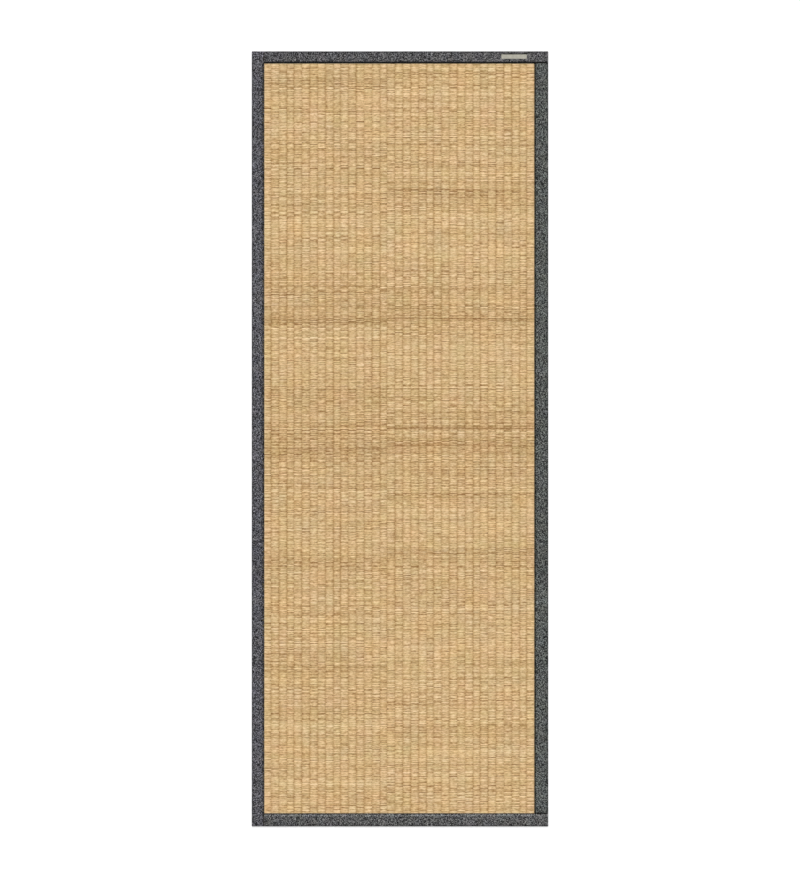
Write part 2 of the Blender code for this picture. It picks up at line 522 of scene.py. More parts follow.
def thread_finish(name, dark, light):
    """Twisted sewing thread: two plies winding round each stitch, with painted shade in the groove
    between them.
    """
    finish = Finish(name, 0.7, Specular_IOR_Level=0.3)
    twist = (finish.value("along") * TWIST + finish.value("around") * math.tau).sine()
    fuzz = finish.noise(finish.place(), 3000.0, 2.0)
    # twist darkens the groove between the plies: painted shade
    tone = twist * 0.25 + fuzz * 0.7 + (finish.value("own") - 0.5) * STITCH_TONE
    finish.feed("Base Color", finish.ramp(tone.held(0.0, 1.0), ((0.0, dark), (1.0, light))))
    finish.feed("Roughness", 0.6 + fuzz * 0.3)
    finish.feed("Normal", finish.bump(twist + fuzz * 0.6, 0.00012, 0.8))
    return finish.material


LABEL_YARN = 0.00042


def label_finish():
    """A blank woven tab: fine pale ribs and picks, with painted shade between them."""
    finish = Finish("label", 0.65, Specular_IOR_Level=0.3, Sheen_Weight=0.1)
    x, y = finish.parts(finish.place())[:2]
    rib = (x * (math.tau / LABEL_YARN)).sine()
    pick = (y * (math.tau / (LABEL_YARN * 1.4))).sine()
    fuzz = finish.noise(finish.place(), 2400.0, 2.0)
    mottle = finish.noise(finish.place(), 160.0, 2.0)
    # rib and pick add painted shade in the hollows between them
    tone = 0.5 + rib * 0.10 + pick * 0.08 + (fuzz - 0.5) * 0.5 + (mottle - 0.5) * 0.5
    stops = (
        (0.1, linear(132, 128, 118)),
        (0.5, linear(183, 180, 166)),
        (0.9, linear(210, 207, 195)),
    )
    finish.feed("Base Color", finish.ramp(tone, stops))
    finish.feed("Roughness", 0.55 + fuzz * 0.25)
    finish.feed("Normal", finish.bump(rib * 0.5 + pick * 0.5 + fuzz * 0.4, 0.00009, 0.8))
    return finish.material


def floor_finish():
    finish = Finish("floor", 0.9, Specular_IOR_Level=0.1, Emission_Strength=0.20)
    finish.shader.inputs["Emission Color"].default_value = (1.0, 1.0, 1.0, 1.0)
    cloud = finish.noise(finish.place(), 2.0, 1.0)
    stops = ((0.0, (0.93, 0.93, 0.93)), (1.0, (0.95, 0.95, 0.95)))
    finish.feed("Base Color", finish.ramp(cloud, stops))
    return finish.material


# Rush sheet


def ribs_across(left, right):
    """Each rib between two sides as its first x and its width. Every sixth rib is narrower."""
    group_width = (RIBS_IN_GROUP - 1) * WIDE_RIB + NARROW_RIB
    x = JOIN_X - math.ceil((JOIN_X - left) / group_width) * group_width
    ribs = []
    while x < right:
        for place in range(RIBS_IN_GROUP):
            width = NARROW_RIB if place == RIBS_IN_GROUP - 1 else WIDE_RIB
            if x + width > left and x < right:
                ribs.append((x, width))
            x += width
    return ribs


def inside_by(x, y):
    """How far a point lies inside the tape's free edges, negative under the tape."""
    sides = np.minimum(x - OPEN_LEFT, OPEN_RIGHT - x)
    ends = np.minimum(y - OPEN_BOTTOM, OPEN_TOP - y)
    return np.minimum(sides, ends)


def front_height(x, y, share):
    """The front face's height, with the rib's own share of its rise."""
    risen = np.clip(inside_by(x, y) / RISE_RUN, 0.0, 1.0)
    risen = risen * risen * (3.0 - 2.0 * risen)
    ribbed = CREST - RIB_RISE * (1.0 - share)
    return PRESSED_TOP + (ribbed - PRESSED_TOP) * risen


def back_height(x, y):
    settled = np.clip(inside_by(x, y) / SETTLE_RUN, 0.0, 1.0)
    return PRESSED_UNDER * (1.0 - settled)


def rib_share(across):
    return np.interp(across, *RIB_SECTION)


# The middle of each tone band along the mat, its half width in metres, and how light it is
LEFT_BANDS = (
    (0.838, 0.016, -0.5),
    (0.808, 0.010, 0.8),
    (0.737, 0.030, 0.5),
    (0.687, 0.024, -0.6),
    (0.588, 0.006, 1.0),
    (0.515, 0.020, 0.6),
    (0.449, 0.006, 0.9),
    (0.355, 0.016, -0.5),
    (0.316, 0.008, -0.8),
    (0.282, 0.017, -1.2),
    (0.243, 0.018, 0.5),
    (0.177, 0.006, 0.9),
    (0.084, 0.026, -0.7),
    (0.012, 0.030, -0.8),
    (-0.032, 0.026, -1.0),
    (-0.080, 0.020, -0.4),
    (-0.189, 0.005, 1.0),
    (-0.250, 0.016, 0.4),
    (-0.290, 0.024, -0.8),
    (-0.340, 0.010, -0.4),
    (-0.427, 0.006, 1.0),
    (-0.493, 0.022, 0.6),
    (-0.543, 0.012, -0.8),
    (-0.578, 0.022, -0.4),
    (-0.675, 0.006, 0.9),
    (-0.746, 0.022, 0.5),
    (-0.809, 0.010, 0.6),
    (-0.855, 0.010, -0.3),
)
RIGHT_BANDS = (
    (0.878, 0.008, 0.5),
    (0.861, 0.006, -0.6),
    (0.814, 0.006, 0.7),
    (0.762, 0.014, 0.6),
    (0.682, 0.010, 0.8),
    (0.574, 0.032, -0.6),
    (0.515, 0.020, 0.5),
    (0.440, 0.010, 0.8),
    (0.350, 0.016, -0.5),
    (0.308, 0.010, -0.7),
    (0.284, 0.008, -1.4),
    (0.243, 0.016, 0.5),
    (0.193, 0.010, 0.6),
    (0.080, 0.034, -0.5),
    (0.026, 0.010, -1.0),
    (-0.012, 0.020, -0.9),
    (-0.060, 0.036, -0.5),
    (-0.174, 0.008, 1.0),
    (-0.271, 0.006, -1.0),
    (-0.297, 0.022, -0.5),
    (-0.405, 0.008, 0.9),
    (-0.486, 0.026, 0.6),
    (-0.583, 0.010, 0.6),
    (-0.625, 0.005, -0.6),
    (-0.684, 0.018, -0.6),
    (-0.738, 0.020, 0.5),
    (-0.803, 0.006, 0.8),
)

# Odd rushes that stand out: the half they lie in, their place along the mat and their tone
ODD_RUSHES = (
    (0, 0.2825, -2.6),
    (0, 0.2748, -2.8),
    (0, 0.0130, -2.2),
    (0, -0.0230, -2.4),
    (0, -0.5380, -2.0),
    (1, 0.3070, -1.8),
    (1, 0.2835, -2.9),
    (1, 0.0240, -2.6),
    (1, -0.0170, -2.3),
    (1, -0.2710, -2.0),
)
ODD_REACH = 0.0016
KNOT = (-0.0118, -0.2290)
KNOT_RADIUS = 0.0090
KNOT_TONE = -2.2


def fresh_tones(count):
    """Random tones in which each rush stands out a little from those beside it."""
    tones = rng.normal(0.0, 1.0, count)
    beside = np.roll(tones, 1) + np.roll(tones, -1)
    return (tones - TONE_APART * beside) / math.sqrt(1.0 + 2.0 * TONE_APART**2)


class Weave:
    """The rushes of one half of the sheet: their edges along the mat, and their tones."""

    def __init__(self, half, columns, pitch):
        self.half = half
        self.columns = columns
        low = OPEN_BOTTOM - TUCK
        high = OPEN_TOP + TUCK
        self.count = round((high - low) / pitch)
        self.edges = [self.edges_between(low, high) for parity in range(2)]
        self.tones = [self.tones_across(parity) for parity in range(2)]
        self.greens = [rng.random(self.count) for parity in range(2)]

    def edges_between(self, low, high):
        widths = np.clip(rng.normal(1.0, PITCH_SPREAD, self.count), *WIDTH_LIMITS)
        return low + (high - low) * np.concatenate([[0.0], np.cumsum(widths) / widths.sum()])

    def tones_across(self, parity):
        """A tone for each rush at each column: mostly the rush's own, changing slowly."""
        middle = (self.edges[parity][1:] + self.edges[parity][:-1]) / 2
        tone = fresh_tones(self.count)
        rows = []
        for _ in range(self.columns):
            rows.append(tone)
            tone = TONE_KEPT * tone + math.sqrt(1.0 - TONE_KEPT**2) * fresh_tones(self.count)
        own = rng.normal(0.0, TONE_OWN, (self.columns, self.count))
        tones = TONE_SPREAD * (np.array(rows) + own) + self.bands(middle)
        for half, place, odd in ODD_RUSHES:
            near = np.argmin(np.abs(middle - place))
            if half == self.half and abs(middle[near] - place) < ODD_REACH:
                tones[:, near] = odd * TONE_SPREAD + 0.4 * own[:, near]
        return tones

    def bands(self, y):
        found = np.zeros_like(y)
        for middle, half_width, lightness in (LEFT_BANDS, RIGHT_BANDS)[self.half]:
            found += lightness * np.exp(-(((y - middle) / half_width) ** 4))
        return BAND_STRENGTH * found


def waviness(x, y):
    """How far the rows stray along the mat, as waves that die away at its two ends."""
    waves = [
        reach * np.sin(turns_x * x + turns_y * y + start)
        for reach, turns_x, turns_y, start in (SLOW_WAVE, QUICK_WAVE)
    ]
    stray = waves[0] + waves[1] * np.cos(4.0 * y + 1.0)
    return stray * np.clip(inside_by(0.0 * x, y) / STRAIGHT_RUN, 0.0, 1.0)


def knot_tone(x, y):
    away = ((x - KNOT[0]) ** 2 + (y - KNOT[1]) ** 2) / KNOT_RADIUS**2
    return KNOT_TONE * np.exp(-away)


def float_places(rib, weave, parity, stations, pinched):
    """The floats over one column as seen from above, and how deep each one is sunk."""
    x_low = max(rib[0] - OVERRUN, OPEN_LEFT - TUCK)
    x_high = min(rib[0] + rib[1] + OVERRUN, OPEN_RIGHT + TUCK)
    edges = weave.edges[parity]
    count = weave.count
    slim = rng.uniform(1.0 - SLIMNESS, 1.0 + SLIMNESS, count)
    lean = rng.uniform(-LEAN, LEAN, count)
    sunk = rng.uniform(0.0, SINK, count)
    skew = rng.normal(0.0, SKEW, (count, 2))
    middle = (edges[1:] + edges[:-1]) / 2
    half = (edges[1:] - edges[:-1]) / 2 * slim
    x = x_low + (x_high - x_low) * stations
    across = (x - rib[0]) / rib[1]
    pinch = 1.0 - pinched * np.abs(2.0 * across - 1.0) ** 5
    tilt = skew[:, :1] * (1.0 - stations) + skew[:, 1:] * stations
    y = [middle[:, None] + tilt + (half * side)[:, None] * pinch for side in (-1.0, lean, 1.0)]
    y = np.stack(y, axis=-1)
    x = np.broadcast_to(x[None, :, None], y.shape)
    return x, y + waviness(x, y), across, sunk


def floats_of(rib, number, weave, column, front, stations):
    """The rushes over one column: points, tones and map places of each patch."""
    parity = number % 2
    stations = np.asarray(stations)
    pinched = FRONT_PINCH if front else BACK_PINCH
    x, y, across, sunk = float_places(rib, weave, parity, stations, pinched)
    share = rib_share(across)[None, :, None]
    dip = np.abs(2.0 * across - 1.0)[None, :, None] ** 8
    drop = np.array([1.0, 0.0, 1.0]) * RUSH_DEPTH + sunk[:, None, None]
    if front:
        z = front_height(x, y, share) - drop - dip * END_DIP
    else:
        z = back_height(x, y) + drop + dip * BACK_DIP
    count = weave.count
    values = {
        "tone": weave.tones[parity][column][:, None, None] + knot_tone(x, y),
        "green": np.clip(weave.greens[parity] - GREEN_FROM, 0.0, 1.0)[:, None, None] * GREENEST,
        "across": across[None, :, None],
        "along": (np.arange(count)[:, None, None] + np.array([0.0, 0.5, 1.0])) / count,
        "over": stations[None, :, None],
    }
    made = {name: np.broadcast_to(value, y.shape).ravel() for name, value in values.items()}
    made["points"] = np.stack([x, y, z], axis=-1).reshape(-1, 3)
    return made


# Maps: lanes in the square, the clear share beside each, and what keeps the last place inside
MAP_LANES = 4
LANE_MARGIN = 0.02
LAST_PLACE = 0.99999


def rush_face(name, ribs, weaves, front, stations, finish):
    """Joins the floats over some columns into one piece, with a map of their own."""
    made = [
        floats_of(rib, number, weaves[half], column, front, stations)
        for number, rib, half, column in ribs
    ]
    joined = {key: np.concatenate([part[key] for part in made]) for key in made[0]}
    count = len(joined["points"]) // (3 * len(stations))
    quads = patch_quads(count, len(stations), 3)
    piece = mesh_piece(name, joined["points"], quads, finish, flip=not front)
    give_values(piece, tone=joined["tone"], green=joined["green"], across=joined["across"])
    column = np.repeat(np.arange(len(made)), len(made[0]["points"]))
    inner = LANE_MARGIN + (1.0 - 2.0 * LANE_MARGIN) * joined["over"]
    lane = (column + inner) / len(made)
    give_map(piece, lanes(joined["along"] * LAST_PLACE, lane, MAP_LANES))
    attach(piece, "root")
    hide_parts("rush_panel")
    return piece


def rush_core(ribs, finish):
    """The closed sheet inside the weave, cut to the panel's size, ribbed a little lower."""
    outer, inner = TUCK + CORE_SETTLE, TUCK
    marks = {-SHEET_X, SHEET_X, OPEN_LEFT, OPEN_RIGHT}
    marks.update(OPEN_LEFT - run for run in (outer, inner))
    marks.update(OPEN_RIGHT + run for run in (outer, inner))
    for start, width in ribs:
        marks.update(start + share * width for share in RIB_SECTION[0][:-1])
    x = np.array(sorted(mark for mark in marks if -SHEET_X <= mark <= SHEET_X))
    runs = (-outer, -inner, 0.0, RISE_RUN / 2, RISE_RUN, SETTLE_RUN)
    ends = [OPEN_BOTTOM + run for run in runs] + [OPEN_TOP - run for run in runs]
    y = np.array(sorted([-SHEET_Y, SHEET_Y, 0.0, *ends]))
    grid_x, grid_y = np.meshgrid(x, y, indexing="ij")
    share = np.zeros_like(x)
    for start, width in ribs:
        inside = (x >= start) & (x < start + width)
        share[inside] = rib_share((x[inside] - start) / width)
    woven = np.clip((inside_by(grid_x, grid_y) + outer) / CORE_SETTLE, 0.0, 1.0)
    top = front_height(grid_x, grid_y, share[:, None]) - CORE_BELOW * woven
    under = back_height(grid_x, grid_y) + CORE_ABOVE * woven
    piece = closed_sheet("rush_core", (grid_x, grid_x), grid_y, under, top, finish)
    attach(piece, "root")
    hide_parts("rush_panel")
    return piece


def close_mesh(piece):
    """Fills what is open at a sweep's two ends, and turns every face outwards."""
    bm = bmesh.new()
    bm.from_mesh(piece.data)
    rims = [edge for edge in bm.edges if edge.is_boundary]
    bmesh.ops.holes_fill(bm, edges=rims, sides=0)
    bmesh.ops.recalc_face_normals(bm, faces=bm.faces[:])
    bm.to_mesh(piece.data)
    bm.free()


def closed_sheet(name, x_of_faces, y, first, second, finish):
    """A closed sheet from a grid of places and the heights of its two faces."""
    ring = np.stack(
        [
            np.concatenate([x_of_faces[0], x_of_faces[1][:, ::-1]], axis=1),
            np.concatenate([y, y[:, ::-1]], axis=1),
            np.concatenate([first, second[:, ::-1]], axis=1),
        ],
        axis=-1,
    )
    rows, columns = ring.shape[:2]
    piece = mesh_piece(name, ring.reshape(-1, 3), patch_quads(1, rows, columns, True), finish)
    close_mesh(piece)
    return piece


def weave_rush():
    """The sheet: its core, and its two faces in pieces of six columns."""
    ribs = ribs_across(OPEN_LEFT, OPEN_RIGHT)
    left = [rib for rib in ribs if rib[0] + rib[1] / 2 < JOIN_X]
    columns = (len(left), len(ribs) - len(left))
    front_weaves = [Weave(half, columns[half], RUSH_PITCH) for half in (0, 1)]
    back_weaves = [Weave(half, columns[half], BACK_PITCH) for half in (0, 1)]
    placed = []
    for number, rib in enumerate(ribs):
        half = 0 if number < len(left) else 1
        column = len(left) - 1 - number if half == 0 else number - len(left)
        placed.append((number, rib, half, column))
    finish = rush_finish("rush", STRAW_BRIGHTNESS)
    back_finish = rush_finish("rush_back", BACK_BRIGHTNESS)
    core = rush_core(ribs_across(-SHEET_X, SHEET_X), core_finish())
    for group, start in enumerate(range(0, len(placed), RIBS_IN_GROUP)):
        some = placed[start : start + RIBS_IN_GROUP]
        for side, weaves, stations, look in (
            ("front", front_weaves, FRONT_STATIONS, finish),
            ("back", back_weaves, BACK_STATIONS, back_finish),
        ):
            name = f"rush_{side}_{group + 1}"
            rush_face(name, some, weaves, side == "front", stations, look)


# Tape

TAPE = 0.0010
FOLD_RADIUS = 0.0016
STATION = 0.006
PUCKER = 0.00010
EDGE_ROLL = 0.0016
ROLL_DROP = 0.0010
LIP = 0.0002

# Painted shade along each tape's free edge, at distances in from it, and on the bottom tape a
# painted highlight where its edge faces the light
RIM_SHADE_AND_HIGHLIGHT = {
    "tape_left": ((0.0, 0.0042, 0.0054), (-0.16, -0.16, 0.0)),
    "tape_right": ((0.0, 0.0034, 0.0044), (-0.22, -0.22, 0.0)),
    "tape_top": ((0.0, 0.0034, 0.0044), (-0.35, -0.35, 0.0)),
    "tape_bottom": ((0.0014, 0.0028, 0.0050, 0.0066), (-0.12, 0.30, 0.30, 0.0)),
}
# Painted shade on the outer fold, where it turns down
FOLD_SHADE = ((0.0, 0.0024, 0.0042), (-0.16, -0.16, 0.0))

# In the corners the left strip lies flush with the two strips that meet it, and the painted shade
# along its edge there is narrower
CORNER_CLEAR = 0.004
CORNER_SHADE_SHIFT = 0.003


def tape_section(width):
    """The folded tape's section, as places in from the outer fold and heights, outer side first."""
    top = TAPE_TOP
    fold = FOLD_RADIUS
    arc = np.linspace(0.0, math.pi / 2, 5)
    lower = [(width - LIP, 0.0), (width * 0.5, 0.0)]
    low_fold = [(fold - fold * math.sin(a), fold - fold * math.cos(a)) for a in arc]
    high_fold = [(fold - fold * math.cos(a), top - fold + fold * math.sin(a)) for a in arc]
    flats = [(place, top) for place in np.linspace(fold + 0.002, width - EDGE_ROLL, 9)]
    angles = np.linspace(0.25, 1.0, 4) * math.pi / 2
    roll = [
        (width - EDGE_ROLL + EDGE_ROLL * math.sin(a), top - ROLL_DROP * (1.0 - math.cos(a)))
        for a in angles
    ]
    outer = lower + low_fold + high_fold + flats + roll
    inner_top = [(width - LIP / 2, top - TAPE), (width * 0.5, top - TAPE), (TAPE, top - TAPE)]
    inner_low = [(TAPE, TAPE), (width * 0.5, TAPE), (width - LIP, TAPE)]
    return np.array(outer), np.array(inner_top + inner_low)


def strip_stations(start, end, closed):
    """Places along a strip: where, how squeezed outside and in, and how far along the cloth."""
    count = max(int((end - start) / STATION), 8)
    rows = [(run, 1.0, 1.0, run) for run in np.linspace(start, end, count)[1:-1]]
    middle = TAPE_TOP / 2
    for side, inwards, shut in ((start, 1.0, closed[0]), (end, -1.0, closed[1])):
        if not shut:
            rows.append((side, 1.0, 1.0, side))
            continue
        turned = side - inwards * (math.pi / 2 - 1.0) * FOLD_RADIUS
        face = middle - FOLD_RADIUS
        bends = [(side, 0.0, 0.0, turned - inwards * face)]
        for angle in np.linspace(math.pi / 2, 0.0, 5):
            depth = FOLD_RADIUS * (1.0 - math.sin(angle))
            squeeze = 1.0 - FOLD_RADIUS * (1.0 - math.cos(angle)) / middle
            cloth = side + inwards * FOLD_RADIUS * (1.0 - angle)
            bends.append((side + inwards * depth, squeeze, float(depth > TAPE), cloth))
        rows = bends + rows if inwards > 0 else rows + bends[::-1]
    if not closed[0]:
        rows.sort(key=lambda row: row[3])
    return np.array(rows).T


def map_strip(piece, along, around, closing):
    """Maps a strip in lanes, from places along the cloth and round its section."""
    share = (along - along[0, 0]) / (along[-1, 0] - along[0, 0]) * LAST_PLACE
    wide = LANE_MARGIN + (1.0 - 2.0 * LANE_MARGIN) * around / closing
    give_map(piece, lanes(share.ravel(), wide.ravel(), MAP_LANES))


def in_world(side, run, place, height):
    """Points of a strip from places along it, in from its fold and up."""
    across, fold, inwards = side
    beside = fold + inwards * place
    return np.stack((run, beside, height) if across else (beside, run, height), axis=-1)


def strip(name, side, width, start, end, closed, finish):
    """One folded tape, swept from start to end. closed tells which of its ends is tucked in."""
    outer, inner = tape_section(width)
    section = np.concatenate([outer, inner])
    is_outer = np.arange(len(section)) < len(outer)
    middle = TAPE_TOP / 2
    on_top = is_outer & (section[:, 1] > middle)
    stations, outside, inside, cloth = strip_stations(start, end, closed)
    shape = (len(stations), len(section))
    run = np.broadcast_to(stations[:, None], shape)
    place = np.broadcast_to(section[:, 0], shape)
    in_corner = (run > OPEN_TOP + CORNER_CLEAR) | (run < OPEN_BOTTOM - CORNER_CLEAR)
    in_corner = in_corner & (name == "tape_left")
    flush = in_corner & on_top & (width - place < EDGE_ROLL)
    height = np.where(flush, TAPE_TOP, section[:, 1]) + tape_waves(run, place, width) * on_top
    squeeze = np.where(is_outer, outside[:, None], inside[:, None])
    points = in_world(side, run, place, middle + (height - middle) * squeeze).reshape(-1, 3)
    piece = mesh_piece(name, points, patch_quads(1, *shape, True), finish)
    lengths = np.concatenate([[0.0], np.cumsum(np.hypot(*np.diff(section, axis=0).T))])
    around = np.broadcast_to(lengths, shape)
    along = np.broadcast_to(cloth[:, None], shape)
    # rim: painted shade along the free edge and the outer fold, and the bottom tape's painted
    # highlight
    edge = width - place + np.where(in_corner, CORNER_SHADE_SHIFT, 0.0)
    rim = np.interp(edge, *RIM_SHADE_AND_HIGHLIGHT[name]) * on_top + np.interp(place, *FOLD_SHADE)
    give_values(piece, along=along.ravel(), around=around.ravel(), rim=rim.ravel())
    map_strip(piece, along, around, lengths[-1] + math.hypot(*(section[0] - section[-1])))
    close_mesh(piece)
    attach(piece, "root")
    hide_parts(name.replace("tape", "binding"))
    return piece, float(lengths[len(outer) - 1])


def tape_waves(run, place, width):
    """Small rises and falls of the tape's upper face, and a pucker along its sewn edge."""
    soft = 0.00007 * np.sin(run * 61.0 + 2.0 * np.sin(run * 13.0))
    soft += 0.00005 * np.sin(run * 173.0 + place * 300.0)
    nearness = np.clip(1.0 - (width - place) / 0.008, 0.0, 1.0)
    return soft * np.clip(place / 0.004, 0.0, 1.0) - PUCKER * nearness


def tape_strips():
    """The four strips, each swept along its own side of the mat."""
    # Name, solid, axis across it, its fold and the way in from there, tucked-in ends and tint
    strips = (
        ("tape_left", LEFT_BOX, (0, -HALF_WIDTH, 1.0), (True, True), (0.99, 0.975, 1.10)),
        ("tape_right", RIGHT_BOX, (0, HALF_WIDTH, -1.0), (False, False), (0.97, 1.03, 0.97)),
        ("tape_top", TOP_BOX, (1, HALF_LENGTH, -1.0), (False, True), (1.01, 0.99, 1.03)),
        ("tape_bottom", BOTTOM_BOX, (1, -HALF_LENGTH, 1.0), (False, True), (1.0, 1.0, 1.0)),
    )
    sewn = sewing()
    for name, (low, high), side, closed, tint in strips:
        across = side[0]
        start, end = low[1 - across], high[1 - across]
        width = high[across] - low[across]
        piece, cut = strip(name, side, width, start, end, closed, tape_finish(name, tint))


# Sewing

# Threads: sides of a round thread, its thin ends, and how every other one and each one differs
STITCH_SIDES = 5
THIN_END = 0.6
HEAVIER = 1.18
UNEVEN = 0.16


def stitches(name, paths, thickness, finish):
    """Many short round threads, each along its own few points, thin at both its ends."""
    count, steps = paths.shape[:2]
    angles = np.arange(STITCH_SIDES) * math.tau / STITCH_SIDES
    run = paths[:, -1] - paths[:, 0]
    up = np.array([0.0, 0.0, 1.0])
    side = np.cross(run, up)
    side /= np.linalg.norm(side, axis=1, keepdims=True)
    ahead = np.gradient(paths, axis=1)
    ahead /= np.linalg.norm(ahead, axis=2, keepdims=True)
    over = np.cross(side[:, None, :], ahead)
    radius = np.full((count, steps), thickness / 2)
    radius[::2] *= HEAVIER
    radius[:, [0, -1]] *= THIN_END
    radius *= rng.uniform(1.0 - UNEVEN, 1.0 + UNEVEN, (count, 1))
    own = rng.uniform(0.0, 1.0, (count, 1, 1))
    ring = (
        np.cos(angles)[None, None, :, None] * side[:, None, None, :]
        + np.sin(angles)[None, None, :, None] * over[:, :, None, :]
    )
    points = paths[:, :, None, :] + ring * radius[:, :, None, None]
    shape = (count, steps, STITCH_SIDES)
    quads = patch_quads(count, steps, STITCH_SIDES, True)
    piece = mesh_piece(name, points.reshape(-1, 3), quads, finish)
    gaps = np.linalg.norm(np.diff(paths, axis=1), axis=2)
    along = np.concatenate([np.zeros((count, 1)), np.cumsum(gaps, axis=1)], axis=1)
    around = (np.arange(STITCH_SIDES) / STITCH_SIDES)[None, None, :]
    give_values(
        piece,
        along=np.broadcast_to(along[:, :, None], shape).ravel(),
        around=np.broadcast_to(around, shape).ravel(),
        own=np.broadcast_to(own, shape).ravel(),
    )
    give_map(piece, cell_places(count, steps, around))
    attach(piece, "root")
    return piece


def cell_places(count, steps, around):
    """A map with a square cell for each stitch."""
    per_row = math.ceil(math.sqrt(count))
    cell = np.arange(count)[:, None, None]
    step = (np.arange(steps) / (steps - 1))[None, :, None]
    u = cell % per_row + 0.1 + 0.8 * step
    v = cell // per_row + 0.1 + 0.8 * around
    return np.stack(np.broadcast_arrays(u, v), axis=-1).reshape(-1, 2) / per_row


def edge_row(name, start, end, out, spacing, slant, reach, thickness, edge, finish):
    """Whip stitches over a tape's free edge, from one end of a line to the other."""
    start, end = np.array(start), np.array(end)
    length = np.linalg.norm(end - start)
    forward = (end - start) / length
    count = int(length / spacing)
    run = (np.arange(count) + 0.5) * length / count + rng.normal(0.0, spacing * UNEVEN, count)
    seat = start + forward * run[:, None]
    lift = thickness * 0.35
    # Places in from the free edge, and heights, from the needle hole over the edge and down
    places = np.array((reach, reach - 0.0004, reach / 2 + 0.0004, 0.0009, edge + 0.0003, edge))
    heights = np.array(
        (
            TAPE_TOP - 0.0003,
            TAPE_TOP + lift,
            TAPE_TOP + lift * 1.3,
            TAPE_TOP - 0.0001 + lift,
            TAPE_TOP - 0.0005 + lift,
            PRESSED_TOP - 0.0001,
        )
    )
    stretch = rng.uniform(1.0 - UNEVEN, 1.0 + UNEVEN, count)
    away = places[None, :] * stretch[:, None]
    lean = (away / reach - 0.5) * slant
    paths = (
        seat[:, None, :]
        + np.array(out)[None, None, :] * away[:, :, None]
        - forward[None, None, :] * lean[:, :, None]
    )
    paths[:, :, 2] = heights
    return stitches(name, paths, thickness, finish)


def sewing():
    """The whip stitches along the four free edges, and on across the strips they cross; the
    threads' dark colours, blackest along the top, are painted shade of the tape's raised edge.
    """
    # Thread colours by side: painted shade of the tape's raised edge, blackest along the top
    black = thread_finish("thread_black", linear(2, 2, 1), linear(24, 21, 14))
    umber = thread_finish("thread_umber", linear(6, 5, 2), linear(76, 70, 49))
    brown = thread_finish("thread_brown", linear(14, 12, 6), linear(122, 110, 80))
    russet = thread_finish("thread_russet", linear(40, 31, 24), linear(84, 69, 55))
    far_side = HALF_WIDTH - 0.002
    far_end = HALF_LENGTH - 0.0036
    seam_y = OPEN_BOTTOM + 0.0009
    seam_x = OPEN_LEFT - 0.0009
    up, down, outward, inward = (0, 1, 0), (0, -1, 0), (1, 0, 0), (-1, 0, 0)
    # Each row's line, the way it faces, spacing, slant, reach, thickness, edge and thread
    rows = (
        ("top", (OPEN_LEFT, OPEN_TOP), (far_side, OPEN_TOP), up,
         0.0013, 0.0006, 0.0038, 0.0013, -0.0001, black),
        ("right", (OPEN_RIGHT, OPEN_TOP), (OPEN_RIGHT, OPEN_BOTTOM), outward,
         0.0036, 0.0014, 0.0034, 0.0016, 0.0004, umber),
        ("left", (OPEN_LEFT, OPEN_TOP), (OPEN_LEFT, OPEN_BOTTOM), inward,
         0.0038, 0.0014, 0.0042, 0.0014, 0.0004, brown),
        ("left_top", (seam_x, far_end), (seam_x, OPEN_TOP), inward,
         0.0022, 0.0008, 0.0019, 0.0011, 0.0001, umber),
        ("left_bottom", (seam_x, OPEN_BOTTOM), (seam_x, -far_end), inward,
         0.0022, 0.0008, 0.0019, 0.0011, 0.0001, umber),
        ("bottom", (OPEN_LEFT, OPEN_BOTTOM), (OPEN_RIGHT, OPEN_BOTTOM), down,
         0.0030, 0.0010, 0.0021, 0.0010, -0.0001, russet),
        ("bottom_right", (OPEN_RIGHT, seam_y), (far_side, seam_y), down,
         0.0014, 0.0008, 0.0022, 0.0012, 0.0001, black),
    )
    sewn = {}
    for side, start, end, out, *sizes, thread in rows:
        piece = edge_row(f"stitches_{side}", (*start, 0.0), (*end, 0.0), out, *sizes, thread)
        sewn[side] = piece
    return sewn


# Label


LABEL_SEAT = TAPE_TOP - 0.00002
LABEL_THICKNESS = 0.00062
HEM = 0.0065
HEM_RUN = 0.0006
HEM_RISE = 0.00025
RIM_ROUND = 0.0004
RIM_DROP = 0.00022
TACK_INSET = 0.0022
TACKS = 6
WHIP_SPACING = 0.0008


def label_tab(low, high):
    """The tab, with both short ends turned under and its rim rounded."""
    grid_x, grid_y = np.meshgrid(
        np.linspace(low[0], high[0], 61), np.linspace(low[1], high[1], 13), indexing="ij"
    )
    from_end = np.minimum(grid_x - low[0], high[0] - grid_x)
    from_side = np.minimum(grid_y - low[1], high[1] - grid_y)
    rim = np.minimum(from_end, from_side)
    turned = np.clip((HEM - from_end) / HEM_RUN, 0.0, 1.0) * HEM_RISE
    rounded = RIM_DROP * (1.0 - np.sqrt(np.clip(rim / RIM_ROUND, 0.0, 1.0)))
    soft = 0.00006 * np.sin(grid_x * 210.0) * np.cos(grid_y * 420.0)
    top = LABEL_SEAT + LABEL_THICKNESS + turned + soft - rounded
    under = np.full_like(top, LABEL_SEAT)
    uneven_x = grid_x + 0.0001 * np.sin(grid_y * 3100.0) * (from_end < 0.0001)
    return closed_sheet("label_tab", (uneven_x, grid_x), grid_y, top, under, label_finish())


def short_stitches(name, paths, thickness, finish):
    """A row of stitches from each one's points."""
    return stitches(name, np.array([np.stack(path, axis=1) for path in paths]), thickness, finish)


